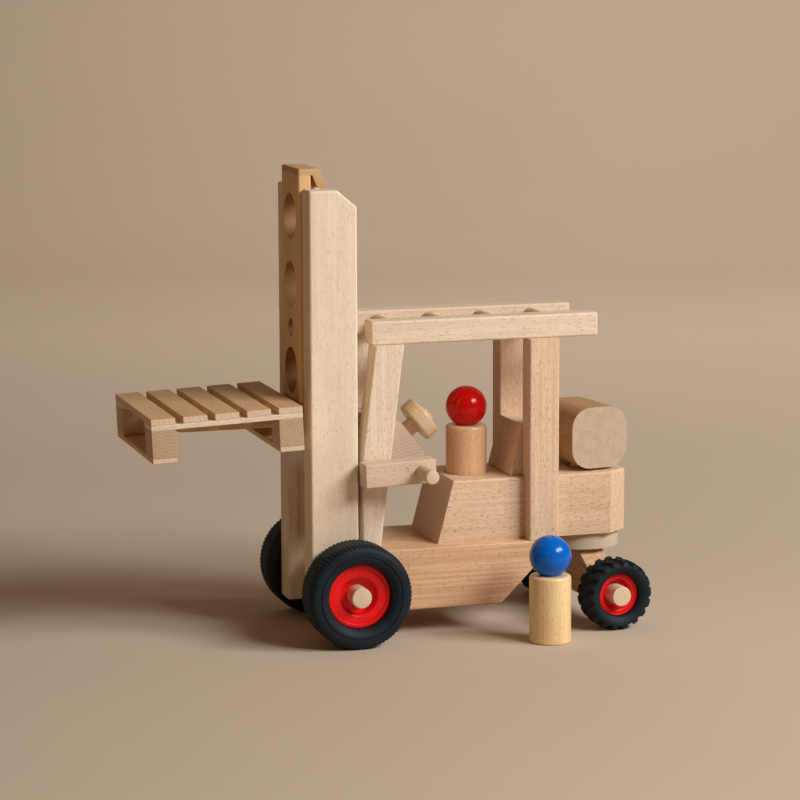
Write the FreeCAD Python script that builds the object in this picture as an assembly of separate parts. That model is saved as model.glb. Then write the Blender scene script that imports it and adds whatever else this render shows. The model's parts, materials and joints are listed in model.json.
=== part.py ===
import FreeCAD, Part
import math
import os
from FreeCAD import Vector

# A wooden toy forklift truck with its pallet, its driver and a worker who stands beside it.
# Millimetres. While it is built, +X points to the fork end, +Y to the truck's left and +Z up,
# with the floor at Z = 0, the truck's centre plane at Y = 0 and the turntable's pin at X = 0.
# The last step moves the whole set so that the origin is the bottom centre of its box.

# ---------------------------------------------------------------- fits and edges
face_gap = 0.3          # between flat faces of pieces that move past each other
running_gap = 0.06      # radial clearance of a shaft that turns in a hole
slide_gap = 0.35        # clearance of the carriage in the mast, each side
edge_round = 1.4        # softened edge of the large boards
small_round = 0.8       # softened edge of the small pieces
thin_round = 0.4        # softened edge of the pallet's thin boards
overcut = 1.0           # how far a cutting shape reaches past the face it opens
alike = 0.01            # two lengths this close are the same edge or level

# ---------------------------------------------------------------- base beam
base_width = 69.8
base_height = 37.4
base_clearance = 15.8   # floor to the underside of the base beam
base_lip = 3.0          # upright edge left above the base beam's 45 degree rear cut
base_shelf = 2.8        # level step between the lip and the rear cut
base_front = 152.2      # turntable pin to the front end of the base beam
base_rear = 26.1        # turntable pin to the rear end of the base beam

# ---------------------------------------------------------------- wheels
front_wheel_radius = 31.3
front_tyre_width = 24.0
front_axle_ahead = 5.5  # front end of the base beam to the front axle
front_rim_radius = 19.1
rear_wheel_radius = 21.4
rear_tyre_width = 20.5
rear_rim_radius = 12.9
axle_radius = 6.0
rim_seat_step = 2.2     # how far the tyre's seat lies inside the rim's edge
rim_flange = 2.0
rim_edge = 0.8
rim_dish = 6.5          # depth of the rim's dished middle
rim_dish_taper = 0.8    # how much the dish narrows to its floor
front_rim_ring = 7.6    # flat ring between the rim's edge and its dish
rear_rim_ring = 3.6
rim_hub_wall = 3.2
tyre_shoulder = 2.4     # rounded corner between the tread and the wall
tyre_lip = 1.6          # bevel of the wall beside the rim
front_wheel_gap = 1.8   # upright to the front tyre
rear_wheel_gap = 3.0    # axle block to the rear tyre
front_rim_recess = 6.0  # tyre's outer face to the rim's outer face
rear_rim_recess = 4.5
front_axle_past = -0.6  # tyre's outer face to the axle's end
rear_axle_past = 1.0

# ---------------------------------------------------------------- mast
upright_depth = 29.0
upright_thickness = 16.2
mast_gap = 39.2         # clear width between the uprights
mast_height = 268.3
mast_clearance = 14.4   # floor to the foot of the uprights
mast_chamfer_depth = 12.0
mast_chamfer_height = 10.0
groove_lip = 6.3        # mast front face to the guide groove
groove_width = 12.4
groove_depth = 3.8
groove_foot = 38.0      # height at which the guide groove ends
roller_radius = 4.5
roller_flange_radius = 6.8
roller_width = 16.0
roller_flange_width = 2.5
roller_height = 248.0
roller_behind_front = 24.2
roller_pin_radius = 3.0
roller_pin_seat = 5.0   # length of the pin inside each upright
mast_dowel_radius = 2.5
mast_dowel_length = 30.0
mast_dowel_heights = (20.6, 41.4)

# ---------------------------------------------------------------- carriage, at rest
board_thickness = 8.0
board_proud = 2.0       # how far the board stands in front of the uprights
board_bottom = 141.4
board_top = 276.0
board_hole_radius = 13.7
board_hole_heights = (159.1, 210.4, 250.8)
small_hole_radius = 5.4
small_hole_height = 184.6
hook_cap = 3.9          # thickness of the hook's top bar
hook_depth = 13.7       # front to back of the hook's top bar
hook_drop = 11.5
hook_lean = 4.4         # how far the hook's arm leans back over its drop
hook_arm = 6.0          # thickness of the hook's arm
hook_root = 0.9         # how far the hook's bar reaches behind the board before it drops
guide_bottom = 152.0
guide_top = 262.0
guide_inner = 14.6      # centre plane to the inner side of a guide strip
crossbar_bottom = 173.2
crossbar_height = 5.6
crossbar_depth = 13.0
fork_bottom = 128.0
fork_length = 87.3
fork_width = 9.8
fork_spacing = 28.4     # centre to centre
fork_slope = 2.3        # degrees by which the forks' top falls towards the tip
fork_tip_lift = 4.0     # how far the underside is cut up at the tip
fork_tip_length = 16.0
fork_block_bottom = 121.0
fork_block_back = 12.7  # base beam's front end to the back of the fork block
fork_dowel_radius = 3.0
fork_dowel_length = 22.0

# ---------------------------------------------------------------- crank
crank_behind_mast = 10.7
crank_height = 101.5
shaft_radius = 5.0
drum_radius = 7.0
drum_flange_radius = 9.5
drum_width = 32.0
drum_flange_width = 3.0
crank_arm_ahead = 10.6  # shaft centre to the arm's front end
crank_arm_behind = 32.9
crank_arm_height = 14.0
crank_arm_thickness = 13.0
crank_arm_gap = 2.5
crank_peg_behind = 24.3
crank_peg_radius = 4.25
crank_peg_length = 19.6
crank_peg_blind = 3.0   # wood left behind the peg's blind hole
crank_shaft_blind = 3.0  # wood left in front of the shaft's blind hole in the arm
crank_shaft_stub = 1.5  # how far the shaft shows past the right pillar
crank_rest_angle = 2.0  # degrees by which the arm's rear end is raised at rest

# ---------------------------------------------------------------- cab
pillar_thickness = 14.0
pillar_lean = 7.0       # degrees
pillar_depth = 18.1
pillar_front_gap = 2.5  # mast to the pillar's vertical front cut
pillar_top_front = 10.8 # mast to the pillar's top front corner
post_depth = 19.0
roof_height = 190.0     # floor to the roof's top
rail_height = 14.2
rail_width = 14.0
frame_dowel_radius = 3.0
frame_dowel_reach = 5.0  # length of a frame dowel in each of the two pieces it joins
rail_side = 31.5        # centre plane to a rail's outer side
roof_front_gap = 9.2    # mast to the rails' front ends
roof_length = 142.4
rung_radius = 4.5
rung_drop = 6.7         # rails' top to a rung's centre
rung_count = 4
rung_pitch = 32.7
first_rung = 18.2       # rails' front end to the first rung
rung_seat = 8.0         # length of a rung inside each rail
console_bottom = 92.0
console_foot_gap = 21.2  # mast to the console's lower front face, clear of the drum
console_head_gap = 11.7  # mast to the front of the console's overhanging head
console_head_bottom = 113.5
console_rear_gap = 45.5
console_rear_height = 108.5
console_slope_top_gap = 31.4
console_slope_top = 126.5
console_top = 130.5
console_top_gap = 25.7   # mast to the rear edge of the console's level top
wheel_axis_rise = 38.0  # degrees by which the steering column rises to the rear
steering_wheel_radius = 12.8
steering_wheel_thickness = 8.7
column_radius = 5.0
column_flutes = 14
column_flute_depth = 0.7
column_tip = 2.4        # how far the column shows past the wheel
column_seat = 12.0      # length of the column inside the console
column_stand = 8.3      # console slope to the wheel's under face
column_foot_gap = 38.6  # mast to where the column's axis meets the console slope
column_foot_height = 117.4

# ---------------------------------------------------------------- seat
seat_width = 53.6
seat_height = 37.85
seat_front_foot = 100.3 # turntable pin to the seat block's lower front edge
seat_front_set_back = 10.0
seat_overhang = 23.3    # turntable pin to the seat block's rear face
seat_corner_length = 13.1
seat_corner_width = 11.0
seat_back_width = 41.4
seat_back_foot = 53.0   # turntable pin to the seat back's lower front edge
seat_back_rear = 33.5
seat_back_height = 30.8
seat_back_set_back = 7.8
driver_ahead = 73.7     # turntable pin to the driver's hole
driver_hole_radius = 13.0
driver_hole_depth = 11.2

# ---------------------------------------------------------------- rear steering
disc_radius = 23.7
disc_thickness = 10.0
steer_rest_angle = 4.0  # degrees by which the rear axle is turned at rest
spindle_radius = 6.0
spindle_over_axle = 2.0  # wood between the rear axle and the spindle's foot
axle_block_depth = 16.6
axle_block_bottom = 14.5
axle_block_half = 38.0
axle_block_top_half = 14.0
axle_block_chamfer = 14.0
tank_size = 37.6
tank_corner = 12.5
tank_length = 42.0
tank_lift = 1.55        # seat block to the tank's underside
tank_offset = 2.3       # tank's centre behind the turntable pin
spindle_in_tank = 12.4
tank_skew = 4.0         # degrees by which the tank is turned past the rear axle

# ---------------------------------------------------------------- pallet
pallet_length = 89.8
pallet_width = 100.0
slat_count = 5
slat_width = 14.4
slat_thickness = 3.8
stringer_thickness = 3.0
stringer_width = 18.0
block_length = 14.5
block_height = 16.2
bottom_board = 3.0
pallet_off_board = 6.5  # carriage board to the pallet's rear edge

# ---------------------------------------------------------------- figures
figure_radius = 12.45
figure_height = 40.4
head_radius = 12.5
head_sink = 1.4
figure_round = 2.4
worker_ahead = 45.0     # turntable pin to the worker
worker_side = 71.9

# ---------------------------------------------------------------- worked out
base_half = base_width / 2
base_top = base_clearance + base_height
seat_top = base_top + seat_height
mast_back = base_front
mast_front = mast_back + upright_depth
gap_half = mast_gap / 2
mast_side = gap_half + upright_thickness
board_front = mast_front + board_proud
board_back = board_front - board_thickness
board_half = gap_half - 2 * slide_gap
front_axle_x = base_front + front_axle_ahead
roller_x = mast_front - roller_behind_front
crank_x = mast_back - crank_behind_mast
crank_shaft_end = base_half + crank_arm_gap + crank_arm_thickness - crank_shaft_blind
pillar_side = base_half
pillar_inner = pillar_side - pillar_thickness
roof_bottom = roof_height - rail_height
pillar_slope = math.tan(math.radians(pillar_lean))
pillar_front = mast_back - pillar_front_gap
pillar_top = mast_back - pillar_top_front
pillar_top_rear = pillar_top - pillar_depth
pillar_foot_rear = pillar_top_rear + (roof_bottom - base_top) * pillar_slope
roof_front = mast_back - roof_front_gap
rung_z = roof_height - rung_drop
fork_root_top = board_bottom
pallet_rear = board_front + pallet_off_board


def soften(solid, radius, edges=None):
    """Round the edges of a solid."""
    if radius <= 0:
        return solid
    return solid.makeFillet(radius, edges or solid.Edges)


def face_of(points):
    """A flat face from its corner points."""
    return Part.Face(Part.makePolygon(points + points[:1]))


def prism_y(outline, low, high, radius=0.0):
    """A side outline of (x, z) points carried across from y = low to y = high."""
    face = face_of([Vector(x, low, z) for x, z in outline])
    return soften(face.extrude(Vector(0, high - low, 0)), radius)


def prism_x(outline, low, high, radius=0.0):
    """An end outline of (y, z) points carried along from x = low to x = high."""
    face = face_of([Vector(low, y, z) for y, z in outline])
    return soften(face.extrude(Vector(high - low, 0, 0)), radius)


def prism_z(outline, low, high, radius=0.0):
    """A plan outline of (x, y) points carried up from z = low to z = high."""
    face = face_of([Vector(x, y, low) for x, y in outline])
    return soften(face.extrude(Vector(0, 0, high - low)), radius)


def block(low, high, radius=0.0):
    """A box between two corners."""
    size = [b - a for a, b in zip(low, high)]
    return soften(Part.makeBox(size[0], size[1], size[2], Vector(*low)), radius)


def rod(start, end, radius):
    """A round bar from start to end."""
    along = Vector(*end) - Vector(*start)
    return Part.makeCylinder(radius, along.Length, Vector(*start), along)


def edges_along(body, direction):
    """The straight edges of a body that run in a direction, either way."""
    straight = [e for e in body.Edges if e.Curve.TypeId == "Part::GeomLine"]
    return [e for e in straight if e.tangentAt(e.FirstParameter).cross(Vector(*direction)).Length < alike]


def edges_above(body, level):
    """The edges of a body that lie wholly at or above a level."""
    return [e for e in body.Edges if e.BoundBox.ZMin > level - alike]


def turned(profile, centre, axis):
    """A shape turned on a lathe: (radius, distance) points round an axis from a centre."""
    face = face_of([Vector(r, 0, t) for r, t in profile])
    solid = face.revolve(Vector(0, 0, 0), Vector(0, 0, 1), 360)
    turn = FreeCAD.Rotation(Vector(0, 0, 1), Vector(*axis))
    solid.Placement = FreeCAD.Placement(Vector(*centre), turn)
    return solid


def mirrored(solid):
    """The same piece on the truck's other side."""
    return solid.mirror(Vector(0, 0, 0), Vector(0, 1, 0))


# ---------------------------------------------------------------- frame pieces
def base_beam():
    """The long beam that everything stands on, its rear end cut up at 45 degrees."""
    lip = base_top - base_lip
    outline = [
        (base_rear, base_top),
        (base_rear, lip),
        (base_rear + base_shelf, lip),
        (base_rear + base_shelf + lip - base_clearance, base_clearance),
        (base_front, base_clearance),
        (base_front, base_top),
    ]
    beam = prism_y(outline, -base_half, base_half)
    beam = soften(beam, edge_round, edges_along(beam, (1, 0, 0)))
    axle_hole = rod(
        (front_axle_x, -base_half - overcut, front_wheel_radius),
        (front_axle_x, base_half + overcut, front_wheel_radius),
        axle_radius + running_gap,
    )
    return without(beam.cut(axle_hole), all_mast_dowels() + all_frame_dowels())


def without(body, solids):
    """A body with other solids cut out of it."""
    for solid in solids:
        if body.BoundBox.intersect(solid.BoundBox):
            body = body.cut(solid)
    return body


def all_mast_dowels():
    """The four dowels that join the base beam's front end to the uprights, as a list."""
    half = mast_dowel_length / 2
    dowels = []
    for side in (-1, 1):
        y = side * (gap_half + upright_thickness / 2)
        for z in mast_dowel_heights:
            dowels.append(rod((mast_back - half, y, z), (mast_back + half, y, z), mast_dowel_radius))
    return dowels


def all_frame_dowels():
    """The eight dowels at the ends of the pillars and posts, as a list."""
    dowels = []
    y = (pillar_inner + rail_side) / 2
    foot_x = (pillar_foot_rear + pillar_front) / 2
    top_x = (pillar_top_rear + pillar_top) / 2
    post_x = base_rear + post_depth / 2
    places = [(foot_x, base_top), (top_x, roof_bottom), (post_x, base_top), (post_x, roof_bottom)]
    for side in (-1, 1):
        for x, z in places:
            low = (x, side * y, z - frame_dowel_reach)
            high = (x, side * y, z + frame_dowel_reach)
            dowels.append(rod(low, high, frame_dowel_radius))
    return dowels


def upright():
    """The left upright: a board on edge with a guide groove down its inner face."""
    outline = [
        (mast_back, mast_clearance),
        (mast_front, mast_clearance),
        (mast_front, mast_height),
        (mast_back + mast_chamfer_depth, mast_height),
        (mast_back, mast_height - mast_chamfer_height),
    ]
    board = prism_y(outline, gap_half, mast_side, edge_round)
    groove_front = mast_front - groove_lip
    groove = block(
        (groove_front - groove_width, gap_half - overcut, groove_foot),
        (groove_front, gap_half + groove_depth, mast_height + overcut),
    )
    axle_hole = rod(
        (front_axle_x, gap_half - overcut, front_wheel_radius),
        (front_axle_x, mast_side + overcut, front_wheel_radius),
        axle_radius + running_gap,
    )
    pin_hole = rod(
        (roller_x, gap_half - overcut, roller_height),
        (roller_x, gap_half + roller_pin_seat, roller_height),
        roller_pin_radius,
    )
    return without(board.cut(groove).cut(axle_hole).cut(pin_hole), all_mast_dowels())


def roller_pin():
    """The fixed pin between the uprights' tops that carries the roller."""
    reach = gap_half + roller_pin_seat
    return rod((roller_x, -reach, roller_height), (roller_x, reach, roller_height), roller_pin_radius)


def top_roller():
    """The flanged roller at the mast's top, over which the carriage is hauled up."""
    half = roller_width / 2
    bore = roller_pin_radius + running_gap
    flange = half - roller_flange_width
    profile = [
        (bore, -half),
        (roller_flange_radius, -half),
        (roller_flange_radius, -flange),
        (roller_radius, -flange),
        (roller_radius, flange),
        (roller_flange_radius, flange),
        (roller_flange_radius, half),
        (bore, half),
    ]
    return turned(profile, (roller_x, 0, roller_height), (0, 1, 0))


def pillar():
    """The left front pillar, leaning back, its lower front cut plumb beside the mast."""
    cut_height = roof_bottom - (pillar_front - pillar_top) / pillar_slope
    outline = [
        (pillar_foot_rear, base_top),
        (pillar_front, base_top),
        (pillar_front, cut_height),
        (pillar_top, roof_bottom),
        (pillar_top_rear, roof_bottom),
    ]
    board = prism_y(outline, pillar_inner, pillar_side)
    board = soften(board, edge_round, rising_edges(board))
    hole = rod(
        (crank_x, pillar_inner - overcut, crank_height),
        (crank_x, pillar_side + overcut, crank_height),
        shaft_radius + running_gap,
    )
    return without(board.cut(hole), all_frame_dowels())


def rising_edges(body):
    """The edges of a standing piece that run up it, plumb or leaning like the pillars."""
    leaning = (-math.sin(math.radians(pillar_lean)), 0, math.cos(math.radians(pillar_lean)))
    return edges_along(body, (0, 0, 1)) + edges_along(body, leaning)


def rear_post():
    """The left rear post, which stands on the base beam in a notch of the seat block."""
    low = (base_rear, pillar_inner, base_top)
    high = (base_rear + post_depth, pillar_side, roof_bottom)
    post = block(low, high)
    post = soften(post, edge_round, edges_along(post, (0, 0, 1)))
    return without(post, all_frame_dowels())


def roof_rail():
    """The left roof rail, with holes for the rungs in its inner side."""
    low = (roof_front - roof_length, rail_side - rail_width, roof_bottom)
    high = (roof_front, rail_side, roof_height)
    rail = block(low, high, edge_round)
    for x in rung_places():
        start = (x, rail_side - rail_width - overcut, rung_z)
        end = (x, rail_side - rail_width + rung_seat, rung_z)
        rail = rail.cut(rod(start, end, rung_radius))
    return without(rail, all_frame_dowels())


def rung_places():
    """The rungs' places along the roof."""
    return [roof_front - first_rung - rung_pitch * i for i in range(rung_count)]


def roof_rungs():
    """The round rungs between the roof rails."""
    reach = rail_side - rail_width + rung_seat
    rungs = [rod((x, -reach, rung_z), (x, reach, rung_z), rung_radius) for x in rung_places()]
    return Part.makeCompound(rungs)


def column_axis():
    """The steering column's direction, rising to the rear."""
    rise = math.radians(wheel_axis_rise)
    return Vector(-math.cos(rise), 0, math.sin(rise))


def column_foot():
    """Where the steering column's axis meets the console's slope."""
    return Vector(mast_back - column_foot_gap, 0, column_foot_height)


def along_column(distance):
    """A point on the steering column's axis, as a plain list."""
    return tuple(column_foot() + column_axis() * distance)


def console():
    """The dashboard block between the front pillars, sloped square to the column."""
    rear = mast_back - console_rear_gap
    outline = [
        (mast_back - console_foot_gap, console_bottom),
        (mast_back - console_foot_gap, console_head_bottom),
        (mast_back - console_head_gap, console_head_bottom),
        (mast_back - console_head_gap, console_top),
        (mast_back - console_top_gap, console_top),
        (mast_back - console_slope_top_gap, console_slope_top),
        (rear, console_rear_height),
        (rear, console_bottom),
    ]
    body = prism_y(outline, -pillar_inner, pillar_inner)
    body = soften(body, small_round, edges_along(body, (0, 1, 0)))
    hole_radius = column_radius + running_gap
    hole = rod(along_column(-column_seat - face_gap), along_column(column_stand), hole_radius)
    return body.cut(hole)


def seat_block():
    """The block that carries the driver, notched for the posts, over the turntable's pin."""
    half = seat_width / 2
    outline = [
        (seat_front_foot, base_top),
        (seat_front_foot - seat_front_set_back, seat_top),
        (-seat_overhang, seat_top),
        (-seat_overhang, base_top),
    ]
    body = prism_y(outline, -half, half)
    for side in (-1, 1):
        cut = [
            (-seat_overhang - overcut, side * (half - seat_corner_width)),
            (-seat_overhang, side * (half - seat_corner_width)),
            (-seat_overhang + seat_corner_length, side * half),
            (-seat_overhang + seat_corner_length, side * (half + overcut)),
            (-seat_overhang - overcut, side * (half + overcut)),
        ]
        body = body.cut(prism_z(cut, base_top - overcut, seat_top + overcut))
    body = soften(body, edge_round, edges_above(body, seat_top))
    for side in (-1, 1):
        low_y, high_y = sorted((side * pillar_inner, side * (half + overcut)))
        low = (base_rear, low_y, base_top - overcut)
        body = body.cut(block(low, (base_rear + post_depth, high_y, seat_top + overcut)))
    hole_floor = (driver_ahead, 0, seat_top - driver_hole_depth)
    driver_hole = rod(hole_floor, (driver_ahead, 0, seat_top + overcut), driver_hole_radius)
    pin_hole = rod((0, 0, base_top - overcut), (0, 0, seat_top + overcut), spindle_radius + running_gap)
    return body.cut(driver_hole).cut(pin_hole)


def seat_back():
    """The wedge behind the driver, between the rear posts."""
    outline = [
        (seat_back_foot, seat_top),
        (seat_back_foot - seat_back_set_back, seat_top + seat_back_height),
        (seat_back_rear, seat_top + seat_back_height),
        (seat_back_rear, seat_top),
    ]
    return prism_y(outline, -seat_back_width / 2, seat_back_width / 2, small_round)


# ---------------------------------------------------------------- steering column
def steering_column():
    """The fluted dowel that the steering wheel turns on."""
    length = column_seat + column_stand + steering_wheel_thickness + column_tip
    points = []
    for i in range(2 * column_flutes):
        angle = math.pi * i / column_flutes
        radius = column_radius - column_flute_depth * (i % 2)
        points.append(Vector(radius * math.cos(angle), radius * math.sin(angle), 0))
    dowel = face_of(points).extrude(Vector(0, 0, length))
    turn = FreeCAD.Rotation(Vector(0, 0, 1), column_axis())
    dowel.Placement = FreeCAD.Placement(Vector(*along_column(-column_seat)), turn)
    return dowel


def steering_wheel():
    """The thick wooden steering wheel."""
    low = column_stand
    high = column_stand + steering_wheel_thickness
    edge = small_round
    outer = steering_wheel_radius
    profile = [
        (column_radius, low),
        (outer - edge, low),
        (outer, low + edge),
        (outer, high - edge),
        (outer - edge, high),
        (column_radius, high),
    ]
    return turned(profile, tuple(column_foot()), tuple(column_axis()))


# ---------------------------------------------------------------- carriage
def carriage_board():
    """The tall board that slides in the mast, with its round holes and a square top for the hook."""
    board = block((board_back, -board_half, board_bottom), (board_front, board_half, board_top))
    lower = [e for e in board.Edges if e.BoundBox.ZMin < board_top - alike]
    board = soften(board, edge_round, lower)
    holes = [(z, board_hole_radius) for z in board_hole_heights] + [(small_hole_height, small_hole_radius)]
    for z, radius in holes:
        board = board.cut(rod((board_back - overcut, 0, z), (board_front + overcut, 0, z), radius))
    return board


def carriage_hook():
    """The moulding on the board's top, with an arm that leans back over a gap."""
    back = board_front - hook_depth
    top = board_top + hook_cap
    low = top - hook_drop
    outline = [
        (board_front, board_top),
        (board_front, top),
        (back, top),
        (back - hook_lean, low),
        (back - hook_lean + hook_arm, low),
        (board_back - hook_root, board_top),
    ]
    body = prism_y(outline, -board_half, board_half)
    return soften(body, edge_round, edges_above(body, top) + edges_along(body, (0, 0, 1)))


def guide_strip():
    """The left strip behind the board that runs in the upright's groove."""
    groove_front = mast_front - groove_lip
    back = groove_front - groove_width + slide_gap
    front = board_back
    low = (back, guide_inner, guide_bottom)
    lip = groove_front - slide_gap
    inside = block(low, (front, board_half, guide_top))
    outer = gap_half + groove_depth - slide_gap
    tongue = block((back, board_half - overcut, guide_bottom), (lip, outer, guide_top))
    return inside.fuse(tongue).removeSplitter()


def crossbar():
    """The bar behind the board that ties the guide strips together."""
    low = (board_back - crossbar_depth, -guide_inner, crossbar_bottom)
    return block(low, (board_back, guide_inner, crossbar_bottom + crossbar_height))


def fork_block():
    """The block under the board that holds the forks."""
    low = (mast_back + fork_block_back, -board_half, fork_block_bottom)
    high = (board_front, board_half, fork_root_top)
    body = block(low, high)
    return without(body, all_fork_dowels())


def all_fork_dowels():
    """The two dowels that join the forks to their block, as a list."""
    half = fork_dowel_length / 2
    z = (fork_bottom + fork_root_top) / 2
    dowels = []
    for side in (-1, 1):
        y = side * fork_spacing / 2
        dowels.append(rod((board_front - half, y, z), (board_front + half, y, z), fork_dowel_radius))
    return dowels


def fork_drop(distance):
    """How far the forks' top has fallen at a distance from the board."""
    return distance * math.tan(math.radians(fork_slope))


def fork():
    """The left fork: level underneath, its top falling a little to the tip."""
    tip = board_front + fork_length
    tip_top = fork_root_top - fork_drop(fork_length)
    outline = [
        (board_front, fork_bottom),
        (tip - fork_tip_length, fork_bottom),
        (tip, fork_bottom + fork_tip_lift),
        (tip, tip_top),
        (board_front, fork_root_top),
    ]
    middle = fork_spacing / 2
    body = prism_y(outline, middle - fork_width / 2, middle + fork_width / 2)
    exposed = [e for e in body.Edges if e.BoundBox.XMax > board_front + alike]
    return without(soften(body, small_round, exposed), all_fork_dowels())


# ---------------------------------------------------------------- crank
def crank_shaft():
    """The shaft through both pillars, which ends inside the arm."""
    low = (crank_x, -pillar_side - crank_shaft_stub, crank_height)
    return rod(low, (crank_x, crank_shaft_end, crank_height), shaft_radius)


def crank_drum():
    """The winding spool on the crank's shaft."""
    half = drum_width / 2
    flange = half - drum_flange_width
    profile = [
        (shaft_radius, -half),
        (drum_flange_radius, -half),
        (drum_flange_radius, -flange),
        (drum_radius, -flange),
        (drum_radius, flange),
        (drum_flange_radius, flange),
        (drum_flange_radius, half),
        (shaft_radius, half),
    ]
    return turned(profile, (crank_x, 0, crank_height), (0, 1, 0))


def cranked(solid):
    """Turn a piece of the crank to its rest angle about the shaft."""
    turned_copy = solid.copy()
    turned_copy.rotate(Vector(crank_x, 0, crank_height), Vector(0, 1, 0), crank_rest_angle)
    return turned_copy


def crank_arm():
    """The crank's wooden arm, before it is turned to its rest angle."""
    inner = pillar_side + crank_arm_gap
    outer = inner + crank_arm_thickness
    half = crank_arm_height / 2
    low = (crank_x - crank_arm_behind, inner, crank_height - half)
    high = (crank_x + crank_arm_ahead, outer, crank_height + half)
    arm = block(low, high, small_round)
    hole_mouth = (crank_x, inner - overcut, crank_height)
    hole = rod(hole_mouth, (crank_x, crank_shaft_end, crank_height), shaft_radius)
    return arm.cut(hole).cut(crank_peg())


def crank_peg():
    """The peg that turns the crank, before it is turned to its rest angle."""
    inner = pillar_side + crank_arm_gap + crank_peg_blind
    outer = pillar_side + crank_arm_gap + crank_arm_thickness + crank_peg_length
    x = crank_x - crank_peg_behind
    return rod((x, inner, crank_height), (x, outer, crank_height), crank_peg_radius)


# ---------------------------------------------------------------- wheels
def rim_profile(rim_radius, ring, width, hub_reach):
    """Half section of a rim, from its inner side at 0 to its outer face at width."""
    seat = rim_radius - rim_seat_step
    dish = rim_radius - ring
    floor = width - rim_dish
    return [
        (axle_radius, -hub_reach),
        (axle_radius + rim_hub_wall, -hub_reach),
        (axle_radius + rim_hub_wall, 0),
        (seat, 0),
        (seat, width - rim_flange),
        (rim_radius, width - rim_flange),
        (rim_radius, width - rim_edge),
        (rim_radius - rim_edge, width),
        (dish, width),
        (dish - rim_dish_taper, floor),
        (axle_radius, floor),
    ]


def shoulder(outer, low, high):
    """Points of a tyre's rounded corner, from the wall at low to the tread at high."""
    steps = 4
    points = []
    for i in range(steps + 1):
        angle = math.pi / 2 * i / steps
        lift = tyre_shoulder * math.sin(angle)
        points.append((outer - tyre_shoulder + lift, high + (low - high) * math.cos(angle)))
    return points


def tyre_profile(outer, rim_radius, width, rim_width):
    """Half section of a tyre that closes over its rim."""
    seat = rim_radius - rim_seat_step
    outside = shoulder(outer, width, width - tyre_shoulder)
    inside = shoulder(outer, 0, tyre_shoulder)
    rim_side = [
        (seat, 0),
        (seat, rim_width - rim_flange),
        (rim_radius, rim_width - rim_flange),
        (rim_radius, width - tyre_lip),
        (rim_radius + tyre_lip, width),
    ]
    return rim_side + outside + inside[::-1]


def wheel_parts(x, side_y, gap, radius, rim_radius, ring, width, recess):
    """The left rim and tyre of an axle across the truck: side_y is the wood's side beside it."""
    rim_width = width - recess
    centre = (x, side_y + gap, radius)
    rim = turned(rim_profile(rim_radius, ring, rim_width, gap - face_gap), centre, (0, 1, 0))
    tyre = turned(tyre_profile(radius, rim_radius, width, rim_width), centre, (0, 1, 0))
    return rim, tyre


def front_wheel():
    """The left front rim and tyre."""
    sizes = (front_wheel_radius, front_rim_radius, front_rim_ring, front_tyre_width, front_rim_recess)
    return wheel_parts(front_axle_x, mast_side, front_wheel_gap, *sizes)


def front_axle():
    """The front axle, which turns in the uprights."""
    reach = mast_side + front_wheel_gap + front_tyre_width + front_axle_past
    z = front_wheel_radius
    return rod((front_axle_x, -reach, z), (front_axle_x, reach, z), axle_radius)


def rear_wheel():
    """The left rear rim and tyre, before the axle is turned."""
    sizes = (rear_wheel_radius, rear_rim_radius, rear_rim_ring, rear_tyre_width, rear_rim_recess)
    return wheel_parts(0, axle_block_half, rear_wheel_gap, *sizes)


def rear_axle():
    """The rear axle, which turns in its block."""
    reach = axle_block_half + rear_wheel_gap + rear_tyre_width + rear_axle_past
    return rod((0, -reach, rear_wheel_radius), (0, reach, rear_wheel_radius), axle_radius)


# ---------------------------------------------------------------- rear steering
def disc_top():
    """Height of the turntable disc's upper face."""
    return base_top - face_gap


def turntable_disc():
    """The disc that turns under the seat block."""
    low = disc_top() - disc_thickness
    disc = rod((0, 0, low), (0, 0, disc_top()), disc_radius)
    return disc.cut(rod((0, 0, low - overcut), (0, 0, disc_top() + overcut), spindle_radius))


def spindle_bottom():
    """Foot of the turntable's pin, just above the rear axle."""
    return rear_wheel_radius + axle_radius + spindle_over_axle


def rear_axle_block():
    """The block that carries the rear axle, its upper ends cut down."""
    top = disc_top() - disc_thickness
    outline = [
        (-axle_block_half, axle_block_bottom),
        (axle_block_half, axle_block_bottom),
        (axle_block_half, top - axle_block_chamfer),
        (axle_block_top_half, top),
        (-axle_block_top_half, top),
        (-axle_block_half, top - axle_block_chamfer),
    ]
    half = axle_block_depth / 2
    body = prism_x(outline, -half, half, small_round)
    reach = axle_block_half + overcut
    z = rear_wheel_radius
    hole = rod((0, -reach, z), (0, reach, z), axle_radius + running_gap)
    pin_hole = rod((0, 0, spindle_bottom()), (0, 0, top + overcut), spindle_radius)
    return body.cut(hole).cut(pin_hole)


def tank_bottom():
    """Height of the tank's underside."""
    return seat_top + tank_lift


def steering_spindle():
    """The pin through the seat block, from the axle block up into the tank."""
    return rod((0, 0, spindle_bottom()), (0, 0, tank_bottom() + spindle_in_tank), spindle_radius)


def tank():
    """The round-cornered log on top that turns with the rear axle."""
    half = tank_size / 2
    low = (-tank_offset - half, -tank_length / 2, tank_bottom())
    body = Part.makeBox(tank_size, tank_length, tank_size, Vector(*low))
    body = soften(body, tank_corner, edges_along(body, (0, 1, 0)))
    hole = rod((0, 0, tank_bottom() - overcut), (0, 0, tank_bottom() + spindle_in_tank), spindle_radius)
    return body.cut(hole)


def steered(solid, extra=0.0):
    """Turn a piece of the rear steering to its rest angle."""
    turned_copy = solid.copy()
    turned_copy.rotate(Vector(0, 0, 0), Vector(0, 0, 1), steer_rest_angle + extra)
    return turned_copy


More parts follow.
